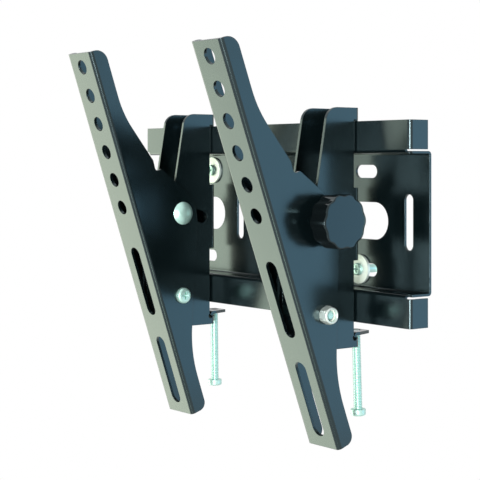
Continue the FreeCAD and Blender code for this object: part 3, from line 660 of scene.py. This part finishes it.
def pan_head(radius, height, round_, recess):
    """A pan head on the +Z side of the origin, with a cross recess."""
    profile = [(0, 0), (radius - HEAD_FOOT, 0), (radius, HEAD_FOOT)]
    profile += arc(radius, height, round_, 0, HEAD_ARC_END, HEAD_ARC_STEPS)
    profile += [(HEAD_SHOULDER_REACH * radius, height + HEAD_SHOULDER_RISE * HEAD_CROWN),
                (0, height + HEAD_CROWN)]
    holder = new_piece("head", lathe(profile, "head"))
    cutter = new_piece("cutter", cross_cutter(recess, height + RECESS_ABOVE_HEAD))
    cut = holder.modifiers.new("recess", "BOOLEAN")
    cut.operation = "DIFFERENCE"
    cut.solver = "EXACT"
    cut.use_self = True
    cut.object = cutter
    mesh = evaluated_mesh(holder, "head")
    holder.modifiers.remove(cut)
    remove_piece(cutter)
    remove_piece(holder)
    return mesh


def carriage_head(radius, height):
    """A low dome with a small flat rim."""
    sphere = (radius ** 2 + height ** 2) / (2 * height)
    profile = [(0, 0), (radius - CARRIAGE_FOOT, 0), (radius, CARRIAGE_RIM)]
    for i in range(1, CARRIAGE_STEPS):
        reach = radius * (1 - i / CARRIAGE_STEPS)
        rise = math.sqrt(sphere ** 2 - reach ** 2) - (sphere - height)
        profile.append((reach, max(rise, CARRIAGE_RIM_TOP)))
    profile.append((0, height))
    return lathe(profile, "head")


def finished_screw(node_name, head, parts, under, direction):
    """A screw in the place of its node. Its head points back from under, and each of its other
    parts starts at its own distance from there in the direction."""
    place = placed_along(under, direction)
    places = [(head, Matrix.Rotation(math.pi, 4, "X"))]
    places += [(mesh, Matrix.Translation((0, 0, start))) for mesh, start in parts]
    whole = bmesh.new()
    for mesh, own in places:
        mesh.transform(place @ own)
        whole.from_mesh(mesh)
        bpy.data.meshes.remove(mesh)
    mesh = mesh_from(whole, node_name + "_looks")
    shade(mesh)
    stand_for(new_piece(node_name + "_looks", mesh), node_name, "zinc")


def machine_shank(length):
    """A 6 mm machine thread of the given length with its bevelled end, as parts of a screw."""
    end = lathe([(radius * MM, height * MM) for radius, height in SCREW_END_PROFILE], "end",
                END_SIDES)
    return [(thread_mesh(length, SCREW_PITCH, SCREW_CORE, SCREW_RIDGE), 0), (end, length)]


def build_lock_screw(side):
    """The screw from below that keeps a bracket on the rails."""
    node_name = f"lock_screw_{side}"
    low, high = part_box(node_name)
    lean = math.radians(LOCK_LEAN[side])
    up = Vector((0, -math.sin(lean), math.cos(lean)))
    tip = Vector(((low.x + high.x) / 2, LOCK_Y, LOCK_Z)) + up * LOCK_TIP[side]
    finished_screw(node_name, pan_head(*LOCK_HEAD), machine_shank(LOCK_LENGTH - SCREW_END),
                   tip - up * LOCK_LENGTH, up)


def build_pivot_screw(side):
    """The screw that the arm tilts on; it ends inside the collar of its lock nut."""
    node_name = f"pivot_screw_{side}"
    inner, outer, centre = ends_along_x(node_name, side)
    outward = SIDES[side]
    under = Vector((inner + outward * PIVOT_HEAD_HEIGHT, centre.y, centre.z))
    length = abs(outer - under.x) - SCREW_END - NUT_SCREW_DEPTH
    finished_screw(node_name, pan_head(*PIVOT_HEAD), machine_shank(length), under,
                   (outward, 0, 0))


def build_clamp_bolt(side):
    """The carriage bolt that the knob tightens, with the square neck under its head."""
    node_name = f"clamp_bolt_{side}"
    inner, outer, centre = ends_along_x(node_name, side)
    outward = SIDES[side]
    under = Vector((inner + outward * CARRIAGE_HEIGHT, centre.y, centre.z))
    length = abs(outer - under.x) - SCREW_END
    square = bmesh.new()
    bmesh.ops.create_cube(square, size=1.0, matrix=Matrix.Diagonal(
        (NECK_WIDTH, NECK_WIDTH, NECK_DEPTH, 1)) @ Matrix.Translation((0, 0, 0.5)))
    shank, end = machine_shank(length)
    finished_screw(node_name, carriage_head(CARRIAGE_RADIUS, CARRIAGE_HEIGHT),
                   [shank, (mesh_from(square, "neck"), 0), end], under, (outward, 0, 0))


def build_wall_screw(corner):
    """A coarse threaded wall screw with a plain neck and a long point."""
    node_name = f"wall_screw_{corner}"
    low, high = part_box(node_name)
    centre = (low + high) / 2
    under = Vector((centre.x, low.y + WALL_HEAD_ROOM, centre.z))
    straight = high.y - under.y - WALL_END_GAP - WALL_NECK - WALL_POINT
    neck_end = WALL_NECK + WALL_NECK_TAPER
    neck = lathe([(0, 0), (WALL_NECK_RADIUS, 0), (WALL_NECK_RADIUS, WALL_NECK),
                  (WALL_CORE, neck_end), (0, neck_end)], "neck")
    shank = thread_mesh(straight, WALL_PITCH, WALL_CORE, WALL_RIDGE)
    point = thread_mesh(WALL_POINT, WALL_PITCH, WALL_CORE, WALL_POINT_RIDGE, WALL_POINT_RADIUS)
    finished_screw(node_name, pan_head(*WALL_HEAD),
                   [(neck, 0), (shank, WALL_NECK), (point, WALL_NECK + straight)],
                   under, (0, 1, 0))


# Lock nuts


def ring_mesh(loop, name, flat=None):
    """A closed ring turned about Z from a loop of (radius, height) in mm. With flat it is cut to
    a hexagon with that distance from the axis to each side."""
    def reach_of(radius):
        if flat is None:
            return lambda angle: radius
        return lambda angle: min(radius, flat / math.cos(
            (angle - math.pi / 2) % (math.pi / 3) - math.pi / 6))

    solid = bmesh.new()
    rings = [ring_of(solid, NUT_SIDES, reach_of(radius * MM), height * MM)
             for radius, height in loop]
    for lower, upper in zip(rings, rings[1:] + rings[:1]):
        band_between(solid, lower, upper)
    return closed_mesh_from(solid, name)


def build_lock_nut(side):
    """The hexagon nut with its rolled collar, and the nylon ring inside the collar."""
    nut_name = f"pivot_nut_{side}"
    inner, _, centre = ends_along_x(nut_name, side)
    place = placed_along((inner, centre.y, centre.z), (SIDES[side], 0, 0))
    for name, loop, flat, finish, slot_name in (
            (nut_name, NUT_LOOP, NUT_FLAT, "nut_zinc", "zinc"),
            (f"pivot_nut_ring_{side}", NUT_RING_LOOP, None, "white_nylon", "white_nylon")):
        mesh = ring_mesh(loop, name + "_looks", flat)
        mesh.transform(place)
        shade(mesh)
        stand_for(new_piece(name + "_looks", mesh), name, finish)


# Star knobs


def knob_profile(thick):
    """Radius, height and depth of flute, from the mouth of the bore over the hub, the back and
    the rim to the crowned face. A depth of 1 is a full flute."""
    profile = [(KNOB_BORE, KNOB_BORE_EDGE, 0), (KNOB_BORE_MOUTH, 0.0, 0),
               (KNOB_HUB - KNOB_HUB_EDGE, 0.0, 0), (KNOB_HUB, KNOB_HUB_EDGE, 0),
               (KNOB_HUB, KNOB_HUB_END - KNOB_HUB_FILLET, 0),
               (KNOB_HUB + KNOB_HUB_FILLET, KNOB_HUB_END, 0),
               (KNOB_OUTER - KNOB_BACK_EDGE, KNOB_HUB_END + KNOB_BACK_RISE, KNOB_BACK_FLUTE)]
    back = KNOB_HUB_END + KNOB_BACK_RISE + 2 * KNOB_BACK_ROUND
    for radius, height in arc(KNOB_OUTER, back, KNOB_BACK_ROUND, KNOB_BACK_START, 0,
                              KNOB_BACK_STEPS):
        profile.append((radius, height, 1))
    rim = arc(KNOB_OUTER, thick - KNOB_CROWN, KNOB_RIM, 0, KNOB_RIM_END, KNOB_RIM_STEPS)
    for i, (radius, height) in enumerate(rim):
        profile.append((radius, height, 1 - KNOB_RIM_FADE * i))
    edge, base = rim[-1]
    for i in range(1, KNOB_FACE_STEPS):
        share = 1 - i / KNOB_FACE_STEPS
        profile.append((edge * share, base + (thick - base) * (1 - share ** 2),
                        KNOB_FACE_FLUTE * share ** 3))
    return profile


def build_knob(side):
    """The closed star grip: soft lobes round the rim, a crowned face and a round hub."""
    node_name = f"knob_grip_{side}"
    inner, outer, centre = ends_along_x(node_name, side)
    thick = abs(outer - inner) - KNOB_SHORT
    turn = math.radians(KNOB_TURN[side])

    def fluted(radius, weight):
        return lambda angle: radius - KNOB_FLUTE * weight * (
            0.5 - 0.5 * math.cos(KNOB_LOBES * (angle - turn))) ** KNOB_FLUTE_SHARPNESS

    grip = bmesh.new()
    rings = [ring_of(grip, KNOB_SIDES, fluted(radius, weight), height)
             for radius, height, weight in knob_profile(thick)]
    rings.append([grip.verts.new((0, 0, thick))])
    bore_end = ring_of(grip, KNOB_SIDES, lambda angle: KNOB_BORE, KNOB_BORE_DEPTH)
    bore_floor = [grip.verts.new((0, 0, KNOB_BORE_DEPTH))]
    rings = [bore_floor, bore_end] + rings
    for lower, upper in zip(rings, rings[1:]):
        band_between(grip, lower, upper)
    mesh = closed_mesh_from(grip, node_name + "_looks")
    outward = SIDES[side]
    mesh.transform(Matrix(((0, 0, outward, inner), (outward, 0, 0, centre.y),
                           (0, 1, 0, centre.z), (0, 0, 0, 1))))
    shade(mesh, KNOB_SHARP_EDGE)
    stand_for(new_piece(node_name + "_looks", mesh), node_name, "black_plastic")


for side_name in SIDES:
    build_lock_screw(side_name)
    build_pivot_screw(side_name)
    build_lock_nut(side_name)
    build_clamp_bolt(side_name)
    build_knob(side_name)
for corner_name in ("upper_left", "lower_right"):
    build_wall_screw(corner_name)


# Studio. Each lamp: azimuth (left of straight ahead of the wall) and elevation in degrees, as seen
# from the object, then distance, width, height, radiance and colour.

KEY_COLOUR = (0.97, 1.0, 0.745)
SIDE_COLOUR = (0.12, 0.60, 1.0)
PLAIN = (1.0, 1.0, 1.0)
LAMPS = {
    "key": (67, -12, 1.5, 0.95, 2.0, 3.45, KEY_COLOUR),
    "key_edge": (45, 2, 1.5, 0.26, 0.86, 1.3, KEY_COLOUR),
    "side": (231, -1, 1.5, 0.70, 0.82, 1.36, SIDE_COLOUR),
    "top": (20, 78, 1.6, 1.4, 1.0, 1.2, PLAIN),
    "front": (-39, -2, 1.55, 0.30, 0.50, 56.0, PLAIN),
    "front_low": (-42, -30, 1.5, 0.24, 0.36, 6.0, KEY_COLOUR),
}
LAMP_AIM = Vector((0, -0.04, 0))
FILL_LEVEL = 0.25
BACKDROP_LEVEL = 1.0
FLOOR_LEVEL = -1.15
FLOOR_HALF = 0.85
FLOOR_ROUGHNESS = 0.8

CAMERA_PLACE = (0.72812, -0.58598, 0.03684)
CAMERA_AZIMUTH = 53
CAMERA_LENS = 102.66
CAMERA_SENSOR = 36.0
CAMERA_SHIFT = -0.1622


def soft_box(name, azimuth, elevation, distance, width, height, radiance, colour):
    """A rectangular light aimed at the object, with the radiance that its surface shows."""
    side = math.radians(azimuth)
    up = math.radians(elevation)
    away = Vector((-math.sin(side) * math.cos(up), -math.cos(side) * math.cos(up), math.sin(up)))
    lamp = bpy.data.lights.new(name, "AREA")
    lamp.shape = "RECTANGLE"
    lamp.size = width
    lamp.size_y = height
    lamp.color = colour
    lamp.energy = radiance * math.pi * width * height
    light = bpy.data.objects.new(name, lamp)
    light.location = LAMP_AIM + away * distance
    light.rotation_euler = away.to_track_quat("Z", "Y").to_euler()
    light.visible_camera = False
    bpy.context.scene.collection.objects.link(light)


def build_world():
    """Plain fill for the surfaces, and a white backdrop for the camera and for reflections."""
    world = bpy.data.worlds.new("studio")
    world.use_nodes = True
    bpy.context.scene.world = world
    tree = world.node_tree
    tree.nodes.clear()
    rays = add_node(tree, "ShaderNodeLightPath").outputs
    seen = math_node(tree, "MAXIMUM", rays["Is Camera Ray"], rays["Is Glossy Ray"])
    shown = math_node(tree, "MAXIMUM", seen, rays["Is Transmission Ray"])
    strength = add_node(tree, "ShaderNodeMapRange", inputs={
        "Value": shown, "To Min": FILL_LEVEL, "To Max": BACKDROP_LEVEL})
    background = add_node(tree, "ShaderNodeBackground", inputs={
        "Color": (1, 1, 1, 1), "Strength": strength.outputs["Result"]})
    output = add_node(tree, "ShaderNodeOutputWorld")
    tree.links.new(background.outputs["Background"], output.inputs["Surface"])


def build_floor():
    """A plain pale floor below the mount."""
    board = bmesh.new()
    bmesh.ops.create_grid(board, x_segments=1, y_segments=1, size=FLOOR_HALF,
                          matrix=Matrix.Translation((0, 0, FLOOR_LEVEL)))
    mesh = mesh_from(board, "floor")
    floor = new_piece("floor", mesh)
    material, tree, shader = new_material("pale_floor")
    skin = place_group(tree, PAINT_SKIN, Ripple_Scale=90.0, Cloud_Scale=3.0)
    mixed_colour(tree, shader, skin["Cloud"], FLOOR_DULL, FLOOR_PALE)
    shader.inputs["Roughness"].default_value = FLOOR_ROUGHNESS
    mesh.materials.append(material)


def build_camera():
    """The level camera of the photograph's viewing angle."""
    data = bpy.data.cameras.new("camera")
    data.lens = CAMERA_LENS
    data.sensor_width = CAMERA_SENSOR
    data.shift_y = CAMERA_SHIFT
    camera = bpy.data.objects.new("camera", data)
    camera.location = CAMERA_PLACE
    camera.rotation_euler = (math.radians(90), 0, math.radians(CAMERA_AZIMUTH))
    bpy.context.scene.collection.objects.link(camera)
    bpy.context.scene.camera = camera


for lamp_name, lamp_values in LAMPS.items():
    soft_box(lamp_name, *lamp_values)
build_world()
build_floor()
build_camera()
bpy.context.scene.view_settings.view_transform = "Standard"
